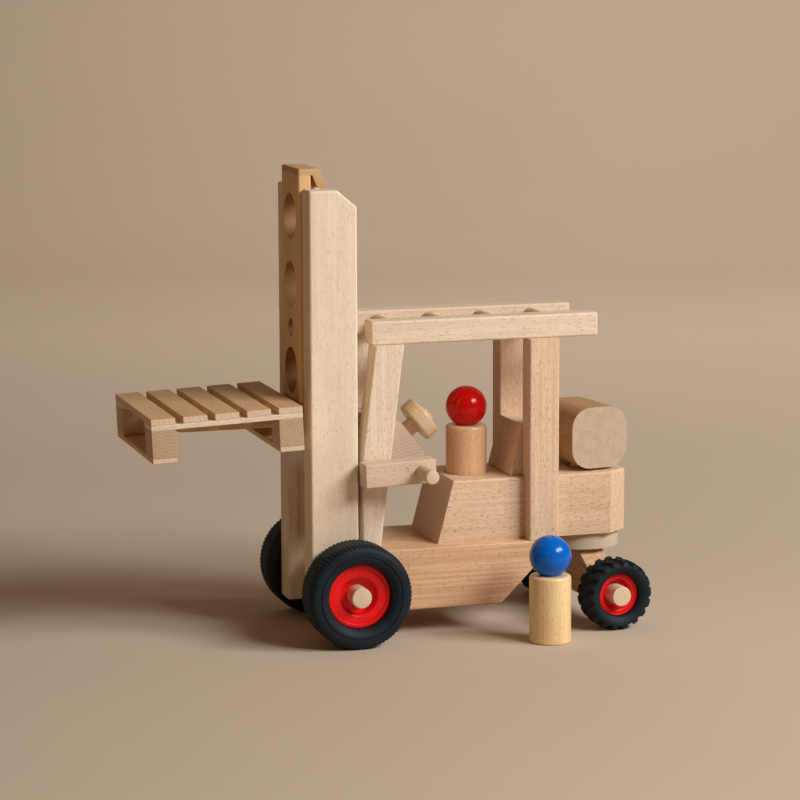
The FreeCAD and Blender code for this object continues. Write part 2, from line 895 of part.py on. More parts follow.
# ---------------------------------------------------------------- pallet
def on_forks(solid):
    """Lay a piece of the pallet on the forks' sloping top."""
    laid = solid.copy()
    rest = fork_root_top - fork_drop(pallet_off_board) + face_gap
    laid.rotate(Vector(0, 0, 0), Vector(0, 1, 0), fork_slope)
    laid.translate(Vector(pallet_rear, 0, rest))
    return laid


def slat_places():
    """Rear edges of the deck slats along the pallet."""
    pitch = (pallet_length - slat_width) / (slat_count - 1)
    return [pitch * i for i in range(slat_count)]


def pallet_slats():
    """The deck's slats; the pallet's own zero is the deck's underside at its rear edge."""
    half = pallet_width / 2
    slats = []
    for x in slat_places():
        slats.append(on_forks(block((x, -half, 0), (x + slat_width, half, slat_thickness), thin_round)))
    return Part.makeCompound(slats)


def pallet_stringers():
    """The two thin boards under the slats' ends."""
    half = pallet_width / 2
    boards = []
    for side in (-1, 1):
        low_y, high_y = sorted((side * half, side * (half - stringer_width)))
        low = (0, low_y, -stringer_thickness)
        boards.append(on_forks(block(low, (pallet_length, high_y, 0), thin_round)))
    return Part.makeCompound(boards)


def pallet_blocks():
    """The four corner blocks."""
    half = pallet_width / 2
    top = -stringer_thickness
    blocks = []
    for x in (0, pallet_length - block_length):
        for side in (-1, 1):
            low_y, high_y = sorted((side * half, side * (half - stringer_width)))
            low = (x, low_y, top - block_height)
            blocks.append(on_forks(block(low, (x + block_length, high_y, top), thin_round)))
    return Part.makeCompound(blocks)


def pallet_bottom_boards():
    """The two boards under the blocks."""
    half = pallet_width / 2
    top = -stringer_thickness - block_height
    boards = []
    for x in (0, pallet_length - block_length):
        low = (x, -half, top - bottom_board)
        boards.append(on_forks(block(low, (x + block_length, half, top), thin_round)))
    return Part.makeCompound(boards)


# ---------------------------------------------------------------- figures
def figure(x, y, foot):
    """A peg figure: a round body and a ball for its head."""
    top = foot + figure_height
    head_z = top + head_radius - head_sink
    body = Part.makeCylinder(figure_radius, figure_height, Vector(x, y, foot))
    body = soften(body, figure_round, edges_above(body, top))
    head = Part.makeSphere(head_radius, Vector(x, y, head_z))
    return body.cut(head), head


# ---------------------------------------------------------------- the whole set
def build():
    """All pieces by name."""
    parts = {}
    parts["base_beam"] = base_beam()
    parts["mast_dowels"] = Part.makeCompound(all_mast_dowels())
    parts["frame_dowels"] = Part.makeCompound(all_frame_dowels())
    parts["mast_upright_left"] = upright()
    parts["roller_pin"] = roller_pin()
    parts["top_roller"] = top_roller()
    parts["front_pillar_left"] = pillar()
    parts["rear_post_left"] = rear_post()
    parts["roof_rail_left"] = roof_rail()
    parts["roof_rungs"] = roof_rungs()
    parts["console"] = console()
    parts["seat_block"] = seat_block()
    parts["seat_back"] = seat_back()
    parts["steering_column"] = steering_column()
    parts["steering_wheel"] = steering_wheel()
    parts["carriage_board"] = carriage_board()
    parts["carriage_hook"] = carriage_hook()
    parts["guide_strip_left"] = guide_strip()
    parts["crossbar"] = crossbar()
    parts["fork_block"] = fork_block()
    parts["fork_left"] = fork()
    parts["fork_dowels"] = Part.makeCompound(all_fork_dowels())
    parts["crank_shaft"] = crank_shaft()
    parts["crank_drum"] = crank_drum()
    parts["crank_arm"] = cranked(crank_arm())
    parts["crank_peg"] = cranked(crank_peg())
    parts["front_rim_left"], parts["front_tyre_left"] = front_wheel()
    parts["front_axle"] = front_axle()
    pairs = ("mast_upright", "front_pillar", "rear_post", "roof_rail", "guide_strip", "fork")
    for name in pairs + ("front_rim", "front_tyre"):
        parts[name + "_right"] = mirrored(parts[name + "_left"])
    rim, tyre = rear_wheel()
    rear = {
        "rear_rim_left": rim,
        "rear_tyre_left": tyre,
        "rear_rim_right": mirrored(rim),
        "rear_tyre_right": mirrored(tyre),
        "rear_axle": rear_axle(),
        "turntable_disc": turntable_disc(),
        "rear_axle_block": rear_axle_block(),
        "steering_spindle": steering_spindle(),
    }
    for name, solid in rear.items():
        parts[name] = steered(solid)
    parts["tank"] = steered(tank(), tank_skew)
    parts["pallet_slats"] = pallet_slats()
    parts["pallet_stringers"] = pallet_stringers()
    parts["pallet_blocks"] = pallet_blocks()
    parts["pallet_bottom_boards"] = pallet_bottom_boards()
    driver_foot = seat_top - driver_hole_depth + face_gap
    parts["driver_body"], parts["driver_head"] = figure(driver_ahead, 0, driver_foot)
    parts["worker_body"], parts["worker_head"] = figure(worker_ahead, worker_side, 0)
    return parts


def row_shift(parts):
    """The move that puts the origin at the bottom centre of the whole set's box."""
    box = Part.makeCompound(list(parts.values())).optimalBoundingBox(False, False)
    return Vector(-(box.XMin + box.XMax) / 2, -(box.YMin + box.YMax) / 2, 0)


def main():
    """Build every piece, move it to the row's frame and write it."""
    os.makedirs("parts", exist_ok=True)
    parts = build()
    shift = row_shift(parts)
    print("row shift", round(shift.x, 4), round(shift.y, 4), "pieces", len(parts))
    for name, solid in parts.items():
        solid.translate(shift)
        solid.exportStep("parts/" + name + ".step")


if __name__ == "__main__":
    main()
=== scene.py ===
import json
import math

import bmesh
import bpy
from bpy.props import FloatProperty, FloatVectorProperty, IntProperty, PointerProperty
from mathutils import Matrix, Vector


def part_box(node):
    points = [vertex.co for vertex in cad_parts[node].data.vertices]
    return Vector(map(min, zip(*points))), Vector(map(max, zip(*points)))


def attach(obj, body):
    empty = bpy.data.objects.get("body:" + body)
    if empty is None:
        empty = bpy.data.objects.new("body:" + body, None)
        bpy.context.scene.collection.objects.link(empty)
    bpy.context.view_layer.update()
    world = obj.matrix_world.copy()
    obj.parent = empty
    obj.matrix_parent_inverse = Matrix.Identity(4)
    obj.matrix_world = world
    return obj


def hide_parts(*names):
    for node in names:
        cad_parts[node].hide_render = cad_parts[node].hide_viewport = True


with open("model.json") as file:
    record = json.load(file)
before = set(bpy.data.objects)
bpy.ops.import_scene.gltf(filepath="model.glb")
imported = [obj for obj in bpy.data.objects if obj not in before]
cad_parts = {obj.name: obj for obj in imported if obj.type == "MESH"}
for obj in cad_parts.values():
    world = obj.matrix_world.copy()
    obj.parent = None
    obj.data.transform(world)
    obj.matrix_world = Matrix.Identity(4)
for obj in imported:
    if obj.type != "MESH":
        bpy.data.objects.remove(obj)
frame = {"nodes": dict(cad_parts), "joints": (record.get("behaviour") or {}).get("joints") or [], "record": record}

bl_info = {
    "name": "Toy Forklift Looks",
    "version": (1, 0, 0),
    "blender": (4, 5, 0),
    "location": "View3D > Sidebar > Toy Forklift",
    "description": "Dresses the wooden toy forklift, its pallet and its peg figures",
    "category": "Object",
}

NODES = frame["nodes"]
JOINTS = {joint["name"]: joint for joint in frame["joints"]}
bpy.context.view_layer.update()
MM = 0.001
UP = Vector((0, 0, 1))
ACROSS = Vector((0, 1, 0))
REAR_AXLE = Vector(JOINTS["rear_wheels_turn"]["axis"])
COLUMN = Vector(JOINTS["steering_wheel_turn"]["axis"])
FULL_TURN = 2 * math.pi
QUARTER_TURN = math.pi / 2
MERGE_GAP = 0.002 * MM  # corners closer than this are one corner
MATERIALS = {}  # the finishes that several pieces share, by name

# wood
GRAIN_TURNS = {"X": (0.0, 0.0, 0.0), "Y": (0.0, 0.0, -QUARTER_TURN), "Z": (0.0, QUARTER_TURN, 0.0)}
GRAIN_AXES = {"X": (1.0, 0.0, 0.0), "Y": (0.0, 1.0, 0.0), "Z": (0.0, 0.0, 1.0)}
RING_PERIOD = 0.314  # a ring wave of scale 1 repeats after this length
SEED_STEP = 0.618  # part of a turn between the hearts of two planks
HEART_STEP = 0.37  # part of the spread between the heart distances of two planks
HEART_SPREAD = 0.6
NOISE_RANGE = (0.3, 0.7)  # most values of a noise lie in it
BROAD_SCALE = (6.0, 45.0)  # noise scales along and across the grain
STREAK_SCALE = (14.0, 420.0)
FIBRE_SCALE = (60.0, 1700.0)
FLECK_SCALE = (340.0, 3000.0)
PATCH_SCALE = (25.0, 240.0)
PORE_SCALE = 2600.0
STREAK_SHADE = (0.78, 1.15)  # darkness and warmth beside the plank's own colour
RING_SHADE = (0.68, 1.09)
FIBRE_SHADE = (0.66, 1.08)
FLECK_SHADE = (0.46, 1.30)
PORE_SHADE = (0.52, 1.12)
# painted shade: the walls of the carriage board's bores are darkened as if shaded inside the holes
BORE_PAINTED_SHADE = (0.36, 1.20)
PLANK_SEEDS = {
    "front_axle": 61,
    "rear_axle": 62,
    "crank_peg": 71,
    "steering_column": 72,
    "steering_wheel": 73,
    "driver_body": 81,
    "worker_body": 82,
}

# rims
HUB_WALL = 3.2 * MM
SEAT_DEPTH = 2.2 * MM  # the tyre's seat lies this far inside the rim's edge
BEAD_WIDTH = 2.0 * MM
LEDGE_DEPTH = 0.7 * MM
RIM_GROOVE = 0.35 * MM  # half the width of the groove in a rim's flat ring
GROOVE_SHARE = 0.36  # the groove's place on the flat ring
DISH_SLOPE = 0.9 * MM
RIM_STEPS = 96

# tyres
LIP_START = 0.04
LIP_STEPS = 4
WALL_GROOVE = 0.022
GROOVE_DEPTH = 0.45 * MM
SHOULDER_STEPS = 8
TREAD_RINGS = 3
TREAD_GAP = 1.4 * MM
TYRE_GAP = 0.02 * MM  # between a tyre's hidden wall and its rim
INNER_WALL_START = 0.3  # an inner wall is drawn from this share of its height
FRONT_LIP_END = 0.40  # shares of a tyre wall's height
FRONT_SHOULDER_START = 0.60
REAR_LIP_END = 0.50
REAR_SHOULDER_START = 0.54
NOTCH_START = 0.83  # share of the wall's height where the notches are cut
NOTCH_FADE_START = 0.79
NOTCH_FADE = 0.08
NOTCH_SIDE = 0.45  # share of the half width where the notches begin
NOTCH_SLANT = 0.6
NOTCH_SHARE = 0.45  # share of a notch's pitch that is cut
STEPS_PER_NOTCH = 5
LUG_START = 0.58  # share of the wall's height where the lugs begin
LUG_FADE = 0.30
LUG_SLANT = 0.55
LUG_EDGE = 0.50  # the wave's height where a space between lugs begins
LUG_RAMP = 0.22
LUG_RIDGE = 0.10  # share of the half width of the ridge along the middle
STEPS_PER_LUG = 22
RUBBER_ANGLE = 28.0  # edges of a tyre under this angle are smooth

# round wooden pieces
DOWEL_STEPS = 64
DISC_STEPS = 72
BALL_STEPS = 64
BALL_ARCS = 32
FOOT_EDGE = 1.3 * MM
SHOULDER_EDGE = 2.3 * MM

# stage
SWEEP_REACH = 8.0
SWEEP_FRONT = 9.0
SWEEP_BACK = 2.8
SWEEP_HEIGHT = 3.0
SWEEP_BEND = 1.0
SWEEP_STEPS = 16
LIGHT_TARGET = (0.0, 0.0, 0.12)
LAMP_WHITE = (1.0, 0.985, 0.955)
ROOM_COLOUR = (1.0, 0.62, 0.34, 1.0)
PANE_SIZE = 0.66
PANE_NEAR = (-1.05, 1.65, 1.45)
PANE_FAR = (-1.60, 1.15, 1.45)
GLINT_SIZE = 0.06
GLINT_PLACE = (1.0, 1.7, 1.1)
WASH_SIZE = 1.4
WASH_PLACE = (-0.75, -1.30, 1.30)
WASH_TARGET = (-1.00, -2.20, 0.15)
CAMERA_PLACE = Vector((0.50275, 1.6715, 0.4212))
CAMERA_SHIFT = (-0.0009, -0.0119)
SENSOR_WIDTH = 36.0


# ---------------------------------------------------------------- settings
class WoodSettings(bpy.types.PropertyGroup):
    """The beech that the truck is made of."""

    pale: FloatVectorProperty(
        name="Pale beech", description="Mast uprights and turntable", size=3, subtype="COLOR",
        default=(0.87, 0.74, 0.57),
    )
    cream: FloatVectorProperty(
        name="Cream beech", description="Roof rails, front pillars and pallet stringers", size=3,
        subtype="COLOR", default=(0.87, 0.72, 0.56),
    )
    tan: FloatVectorProperty(
        name="Tan beech", description="Rear posts and seat", size=3, subtype="COLOR",
        default=(0.82, 0.60, 0.42),
    )
    honey: FloatVectorProperty(
        name="Honey beech", description="Base beam, rear axle block and pallet blocks", size=3,
        subtype="COLOR",
        default=(0.82, 0.54, 0.335),
    )
    amber: FloatVectorProperty(
        name="Amber beech", description="Carriage, forks and tank", size=3, subtype="COLOR",
        default=(0.62, 0.395, 0.19),
    )
    deck: FloatVectorProperty(
        name="Deck beech", description="Pallet slats and bottom boards", size=3, subtype="COLOR",
        default=(0.73, 0.485, 0.255),
    )
    pink: FloatVectorProperty(
        name="Pink beech", description="Crank arm and console", size=3, subtype="COLOR",
        default=(0.80, 0.60, 0.48),
    )
    dowel: FloatVectorProperty(
        name="Dowel wood", description="Axles, rungs, dowels, drum and roller", size=3, subtype="COLOR",
        default=(0.78, 0.60, 0.42),
    )
    figure: FloatVectorProperty(
        name="Figure wood", description="The worker's body and the steering wheel", size=3,
        subtype="COLOR",
        default=(0.96, 0.70, 0.38),
    )
    russet: FloatVectorProperty(
        name="Russet wood", description="The driver's turned body", size=3, subtype="COLOR",
        default=(0.82, 0.51, 0.29),
    )
    end: FloatVectorProperty(
        name="End grain", description="The sawn ends of boards", size=3, subtype="COLOR",
        default=(0.78, 0.61, 0.48),
    )


class PaintSettings(bpy.types.PropertyGroup):
    """The lacquers, the rim plastic and the rubber."""

    red: FloatVectorProperty(
        name="Red lacquer", description="The driver's head", size=3, subtype="COLOR",
        default=(0.60, 0.003, 0.002),
    )
    blue: FloatVectorProperty(
        name="Blue lacquer", description="The worker's head", size=3, subtype="COLOR",
        default=(0.001, 0.13, 0.60),
    )
    rim: FloatVectorProperty(
        name="Rim red", description="The wheels' moulded rims", size=3, subtype="COLOR",
        default=(0.84, 0.006, 0.008),
    )
    rubber: FloatVectorProperty(
        name="Rubber", description="Tyres", size=3, subtype="COLOR",
        default=(0.0075, 0.0145, 0.0215),
    )


class WheelSettings(bpy.types.PropertyGroup):
    """The rims and the treads."""

    front_ring: FloatProperty(
        name="Front ring", description="Flat ring of a front rim round its dish", default=7.6 * MM,
        unit="LENGTH",
    )
    rear_ring: FloatProperty(
        name="Rear ring", description="Flat ring of a rear rim round its dish", default=3.6 * MM,
        unit="LENGTH",
    )
    dish: FloatProperty(name="Dish", description="Depth of a rim's dish", default=6.5 * MM, unit="LENGTH")
    front_lip: FloatProperty(
        name="Front lip", description="How far a front tyre's wall sinks at its rim", default=2.6 * MM,
        unit="LENGTH",
    )
    rear_lip: FloatProperty(
        name="Rear lip", description="How far a rear tyre's wall sinks at its rim", default=2.0 * MM,
        unit="LENGTH",
    )
    front_shoulder: FloatProperty(
        name="Front shoulder", description="Depth of a front tyre's round shoulder", default=4.0 * MM,
        unit="LENGTH",
    )
    rear_shoulder: FloatProperty(
        name="Rear shoulder", description="Depth of a rear tyre's round shoulder", default=4.8 * MM,
        unit="LENGTH",
    )
    front_notches: IntProperty(
        name="Front notches", description="Fine notches round a front tyre", default=76, min=12,
    )
    notch_depth: FloatProperty(
        name="Notch depth", description="Depth of a front notch", default=0.45 * MM, unit="LENGTH",
    )
    rear_lugs: IntProperty(
        name="Rear lugs", description="Lugs on each side of a rear tyre", default=18, min=6,
    )
    lug_depth: FloatProperty(
        name="Lug depth", description="Depth between two rear lugs", default=1.5 * MM, unit="LENGTH",
    )


class StudioSettings(bpy.types.PropertyGroup):
    """Floor, lights and camera."""

    floor: FloatVectorProperty(
        name="Floor", description="The pale sweep", size=3, subtype="COLOR",
        default=(0.605, 0.50, 0.392),
    )
    key_power: FloatProperty(
        name="Key", description="Power of each pane of the large window in watts", default=28.0, min=0.0,
        unit="POWER",
    )
    glint_power: FloatProperty(
        name="Glint", description="Power of the small lamp on the other side in watts", default=0.2,
        min=0.0, unit="POWER",
    )
    fill: FloatProperty(
        name="Fill", description="Strength of the room's light", default=0.14, min=0.0,
        subtype="FACTOR",
    )
    wash_power: FloatProperty(
        name="Wash", description="Power of the lamp over the backdrop in watts", default=10.0, min=0.0,
        unit="POWER",
    )
    lens: FloatProperty(
        name="Lens", description="Focal length in millimetres", default=133.14, min=1.0, unit="CAMERA",
    )
    azimuth: FloatProperty(
        name="Azimuth", description="The camera's direction round the truck",
        default=math.radians(162.99), subtype="ANGLE",
    )
    elevation: FloatProperty(
        name="Elevation", description="The camera's height over the floor as an angle",
        default=math.radians(8.98), subtype="ANGLE",
    )
    roll: FloatProperty(
        name="Roll", description="How far the camera leans", default=math.radians(-0.18),
        subtype="ANGLE",
    )


# ---------------------------------------------------------------- node material helpers
class Shader:
    """A material's node tree with short ways to add to it."""

    def __init__(self, name):
        self.material = bpy.data.materials.new(name)
        self.material.use_nodes = True
        self.tree = self.material.node_tree
        self.surface = self.tree.nodes["Principled BSDF"]

    def add(self, kind, values=(), **settings):
        """Add a node; values go to its sockets by name or number, links if they are sockets."""
        node = self.tree.nodes.new(kind)
        for key, value in settings.items():
            setattr(node, key, value)
        for key, value in dict(values).items():
            socket = node.inputs[key]
            if isinstance(value, bpy.types.NodeSocket):
                self.tree.links.new(value, socket)
            else:
                socket.default_value = value
        return node

    def link(self, source, target):
        """Link two sockets."""
        self.tree.links.new(source, target)

    def place(self, grain="X", centre=(0.0, 0.0, 0.0), shift=(0.0, 0.0, 0.0)):
        """Object coordinates from a centre, turned so that X runs along the grain, then shifted."""
        coordinates = self.add("ShaderNodeTexCoord").outputs["Object"]
        local = self.add("ShaderNodeVectorMath", {0: coordinates, 1: centre}, operation="SUBTRACT")
        values = {"Vector": local.outputs["Vector"], "Location": shift, "Rotation": GRAIN_TURNS[grain]}
        return self.add("ShaderNodeMapping", values).outputs["Vector"]

    def end_grain(self, grain):
        """1 on the faces that the fibres run out of, 0 on the others."""
        normal = self.add("ShaderNodeTexCoord").outputs["Normal"]
        dot = self.add("ShaderNodeVectorMath", {0: normal, 1: GRAIN_AXES[grain]}, operation="DOT_PRODUCT")
        facing = self.add("ShaderNodeMath", {0: dot.outputs["Value"]}, operation="ABSOLUTE").outputs[0]
        return self.between(facing, 0.80, 0.93)

    def painted_bore_shade(self, centre, reach):
        """1 on the walls of bores that run along X and lie within a reach of the middle, where painted shade
        darkens the holes.
        """
        coordinates = self.add("ShaderNodeTexCoord").outputs
        values = {0: coordinates["Object"], 1: centre}
        local = self.add("ShaderNodeVectorMath", values, operation="SUBTRACT")
        places = self.add("ShaderNodeSeparateXYZ", {0: local.outputs["Vector"]}).outputs
        normals = self.add("ShaderNodeSeparateXYZ", {0: coordinates["Normal"]}).outputs
        sideways = self.add("ShaderNodeMath", {0: places["Y"]}, operation="ABSOLUTE").outputs[0]
        facing = self.add("ShaderNodeMath", {0: normals["X"]}, operation="ABSOLUTE").outputs[0]
        inside = self.between(sideways, reach, reach + 1.0 * MM, 1.0, 0.0)
        return self.sum(inside, self.between(facing, 0.3, 0.6, 1.0, 0.0), "MULTIPLY")

    def stretched(self, vector, along, across):
        """A vector scaled along and across the grain."""
        values = {0: vector, 1: (along, across, across)}
        return self.add("ShaderNodeVectorMath", values, operation="MULTIPLY").outputs["Vector"]

    def noise(self, vector, scale=1.0, detail=2.0, roughness=0.5, distortion=0.0):
        """A noise value."""
        values = {
            "Vector": vector, "Scale": scale, "Detail": detail,
            "Roughness": roughness, "Distortion": distortion,
        }
        return self.add("ShaderNodeTexNoise", values).outputs["Fac"]

    def between(self, value, low, high, low_out=0.0, high_out=1.0):
        """A value moved smoothly from one range to another, clamped."""
        values = {"Value": value, "From Min": low, "From Max": high, "To Min": low_out, "To Max": high_out}
        return self.add("ShaderNodeMapRange", values, interpolation_type="SMOOTHSTEP").outputs["Result"]

    def mixed(self, factor, first, second):
        """Two colours mixed."""
        node = self.add("ShaderNodeMix", data_type="RGBA")
        sockets = (node.inputs[0], node.inputs[6], node.inputs[7])
        for socket, value in zip(sockets, (factor, first, second)):
            if isinstance(value, bpy.types.NodeSocket):
                self.link(value, socket)
            else:
                socket.default_value = value
        return node.outputs[2]

    def sum(self, first, second, operation="ADD"):
        """Two numbers worked together."""
        return self.add("ShaderNodeMath", {0: first, 1: second}, operation=operation).outputs[0]

    def bump(self, height, depth, strength=1.0):
        """Turn a height into the surface's bump."""
        node = self.add("ShaderNodeBump", {"Height": height, "Distance": depth, "Strength": strength})
        self.link(node.outputs["Normal"], self.surface.inputs["Normal"])


def shade(colour, factor, warm=1.0):
    """A darker or lighter colour, a little warmer where asked."""
    return (colour[0] * factor, colour[1] * factor / warm, colour[2] * factor / (warm * warm), 1.0)


class Plank:
    """How one plank's grain looks: its flecks, growth rings, end grain and polish, and painted shade on the walls
    of its bores.
    """

    def __init__(self, fleck=0.45, fleck_length=1.0, ring_gap=2.0 * MM, heart=45.0 * MM, rings=0.10,
                 end_rings=0.16, end_share=0.55, streaks=0.20, roughness=0.52, coat=0.0, turn=None,
                 bore_shade_reach=0.0):
        self.fleck = fleck
        self.fleck_length = fleck_length
        self.ring_gap = ring_gap
        self.heart = heart
        self.rings = rings
        self.end_rings = end_rings
        self.end_share = end_share
        self.streaks = streaks
        self.roughness = roughness
        self.coat = coat
        self.turn = turn
        self.bore_shade_reach = bore_shade_reach


def beech(name, colour, end_colour, grain, centre, seed, plank):
    """Beech: broad tone, faint growth rings, fine fibres, short ray flecks and paler end grain."""
    shader = Shader(name)
    turn = FULL_TURN * (SEED_STEP * seed % 1.0 if plank.turn is None else plank.turn)
    away = plank.heart * (1.0 + HEART_SPREAD * (HEART_STEP * seed % 1.0))
    place = shader.place(grain, centre, (0.0, away * math.cos(turn), away * math.sin(turn)))
    ends = shader.end_grain(grain)
    sides = shader.sum(1.0, ends, "SUBTRACT")
    broad = shader.noise(shader.stretched(place, *BROAD_SCALE), detail=3.0, distortion=0.5)
    streaks = shader.noise(shader.stretched(place, *STREAK_SCALE), detail=3.0, roughness=0.6)
    fibres = shader.noise(shader.stretched(place, *FIBRE_SCALE), detail=2.0, roughness=0.6)
    swirl = shader.add(
        "ShaderNodeTexWave",
        {
            "Vector": shader.stretched(place, 0.10, 1.0),
            "Scale": RING_PERIOD / plank.ring_gap,
            "Distortion": 3.5,
            "Detail": 2.0,
            "Detail Scale": 0.30,
            "Detail Roughness": 0.55,
        },
        wave_type="RINGS", rings_direction="X",
    ).outputs["Fac"]
    patches = shader.between(shader.noise(shader.stretched(place, *PATCH_SCALE)), 0.35, 0.65, 0.35, 1.0)
    rings = shader.sum(shader.between(swirl, 0.30, 1.0), patches, "MULTIPLY")
    ring_share = shader.between(ends, 0.0, 1.0, plank.rings, plank.end_rings)
    along, across = FLECK_SCALE
    long_specks = shader.noise(
        shader.stretched(place, along / plank.fleck_length, across), detail=1.0, roughness=0.45
    )
    flecks = shader.sum(shader.between(long_specks, 0.63, 0.675), sides, "MULTIPLY")
    pore_noise = shader.noise(place, scale=PORE_SCALE, detail=1.0)
    pores = shader.sum(shader.between(pore_noise, 0.60, 0.72), ends, "MULTIPLY")
    base = shader.mixed(
        shader.between(broad, *NOISE_RANGE), shade(colour, 0.93, 1.03), shade(colour, 1.05, 0.99)
    )
    streaked = shader.mixed(
        shader.between(streaks, 0.35, 0.75, 0.0, plank.streaks), base, shade(colour, *STREAK_SHADE)
    )
    own_share = 1.0 - plank.end_share
    end_tone = [plank.end_share * pale + own_share * own for pale, own in zip(end_colour, colour)]
    ended = shader.mixed(ends, streaked, shade(end_tone, 1.0))
    ringed = shader.mixed(shader.sum(rings, ring_share, "MULTIPLY"), ended, shade(colour, *RING_SHADE))
    fibred = shader.mixed(
        shader.between(fibres, 0.40, 0.80, 0.0, 0.16), ringed, shade(colour, *FIBRE_SHADE)
    )
    flecked = shader.mixed(shader.sum(flecks, plank.fleck, "MULTIPLY"), fibred, shade(colour, *FLECK_SHADE))
    pored = shader.mixed(shader.sum(pores, 0.35, "MULTIPLY"), flecked, shade(colour, *PORE_SHADE))
    # painted shade: darken the bore walls near the middle, as shade inside the holes
    if plank.bore_shade_reach:
        pored = shader.mixed(shader.painted_bore_shade(centre, plank.bore_shade_reach), pored, shade(colour, *BORE_PAINTED_SHADE))
    shader.link(pored, shader.surface.inputs["Base Color"])
    rough = shader.between(fibres, 0.3, 0.8, plank.roughness - 0.05, plank.roughness + 0.10)
    shader.link(rough, shader.surface.inputs["Roughness"])
    shader.surface.inputs["Specular IOR Level"].default_value = 0.28
    shader.surface.inputs["Coat Weight"].default_value = plank.coat
    shader.surface.inputs["Coat Roughness"].default_value = 0.25
    height = shader.sum(fibres, shader.sum(flecks, 0.8, "MULTIPLY"), "SUBTRACT")
    shader.bump(height, 0.04 * MM, 0.5)
    return shader.material


def lacquer(name, colour, roughness=0.14):
    """A thick even lacquer on a turned ball."""
    shader = Shader(name)
    place = shader.place()
    cloud = shader.noise(place, scale=40.0, detail=1.0)
    tone = shader.mixed(shader.between(cloud, *NOISE_RANGE), shade(colour, 0.97), shade(colour, 1.03))
    shader.link(tone, shader.surface.inputs["Base Color"])
    smear = shader.noise(place, scale=260.0, detail=3.0)
    rough = shader.between(smear, 0.3, 0.8, roughness, roughness + 0.05)
    shader.link(rough, shader.surface.inputs["Roughness"])
    shader.surface.inputs["Specular IOR Level"].default_value = 0.24
    shader.surface.inputs["Coat Weight"].default_value = 0.12
    shader.surface.inputs["Coat Roughness"].default_value = 0.06
    return shader.material


def rim_plastic(name, colour):
    """Red moulded plastic, satin, with fine moulding grain."""
    shader = Shader(name)
    place = shader.place()
    cloud = shader.noise(place, scale=70.0, detail=2.0)
    tone = shader.mixed(shader.between(cloud, *NOISE_RANGE), shade(colour, 0.92), shade(colour, 1.05))
    shader.link(tone, shader.surface.inputs["Base Color"])
    grain = shader.noise(place, scale=1800.0, detail=2.0)
    shader.link(shader.between(grain, *NOISE_RANGE, 0.30, 0.42), shader.surface.inputs["Roughness"])
    shader.surface.inputs["Specular IOR Level"].default_value = 0.34
    shader.bump(grain, 0.02 * MM, 0.35)
    return shader.material


def rubber(name, colour):
    """Matt rubber with a dusty bloom and a fine skin."""
    shader = Shader(name)
    place = shader.place()
    bloom = shader.noise(place, scale=60.0, detail=4.0, roughness=0.6)
    tone = shader.mixed(shader.between(bloom, 0.35, 0.75), shade(colour, 0.8), shade(colour, 1.5))
    shader.link(tone, shader.surface.inputs["Base Color"])
    skin = shader.noise(place, scale=2600.0, detail=2.0)
    shader.link(shader.between(skin, *NOISE_RANGE, 0.52, 0.68), shader.surface.inputs["Roughness"])
    shader.surface.inputs["Specular IOR Level"].default_value = 0.22
    shader.bump(skin, 0.04 * MM, 0.4)
    return shader.material


# ---------------------------------------------------------------- mesh helpers
def paint(node, material):
    """Give a CAD piece its finish."""
    mesh = NODES[node].data
    mesh.materials.clear()
    mesh.materials.append(material)


def span(node, origin, axis):
    """A CAD piece's lowest and highest place along an axis, and its largest distance from it."""
    places = []
    radii = []
    for vertex in NODES[node].data.vertices:
        arm = vertex.co - origin
        place = arm.dot(axis)
        places.append(place)
        radii.append((arm - axis * place).length)
    return min(places), max(places), max(radii)


def body_of_node(node):
    """The moving body that a CAD piece belongs to."""
    for body, nodes in frame["record"]["behaviour"]["bodies"].items():
        if node in nodes:
            return body
    raise RuntimeError("no body holds " + node)


def piece(bm, name, node, material, smooth_angle=35.0):
    """Make a finished piece of a bmesh, in place of a CAD piece."""
    bmesh.ops.remove_doubles(bm, verts=bm.verts, dist=MERGE_GAP)
    bmesh.ops.recalc_face_normals(bm, faces=bm.faces)
    limit = math.radians(smooth_angle)
    for face in bm.faces:
        face.smooth = True
    for edge in bm.edges:
        edge.smooth = len(edge.link_faces) == 2 and edge.calc_face_angle(0.0) < limit
    mesh = bpy.data.meshes.new(name)
    bm.to_mesh(mesh)
    bm.free()
    mesh.materials.append(material)
    made = bpy.data.objects.new(name, mesh)
    bpy.context.scene.collection.objects.link(made)
    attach(made, body_of_node(node))
    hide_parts(node)


def lathe(profile, origin, axis, steps, closed=True):
    """A bmesh turned from (radius, place) points round an axis."""
    bm = bmesh.new()
    corners = [bm.verts.new((radius, 0.0, place)) for radius, place in profile]
    loops = list(zip(corners, corners[1:]))
    if closed:
        loops.append((corners[-1], corners[0]))
    edges = [bm.edges.new(pair) for pair in loops]
    bmesh.ops.spin(
        bm, geom=corners + edges, cent=(0, 0, 0), axis=(0, 0, 1), angle=FULL_TURN, steps=steps,
        use_merge=True,
    )
    bmesh.ops.remove_doubles(bm, verts=bm.verts, dist=MERGE_GAP)
    turn = UP.rotation_difference(axis).to_matrix().to_4x4()
    bmesh.ops.transform(bm, matrix=Matrix.Translation(origin) @ turn, verts=bm.verts)
    return bm


def rounded(points, radii, segments=3):
    """A (radius, place) outline with some corners rounded: radii holds one radius per point."""
    outline = []
    count = len(points)
    for i, (point, radius) in enumerate(zip(points, radii)):
        here = Vector(point)
        if radius <= 0:
            outline.append(tuple(here))
            continue
        before = (Vector(points[i - 1]) - here).normalized()
        after = (Vector(points[(i + 1) % count]) - here).normalized()
        for step in range(segments + 1):
            share = step / segments
            bend = here + before * radius * (1 - share) ** 2 + after * radius * share ** 2
            outline.append(tuple(bend))
    return outline


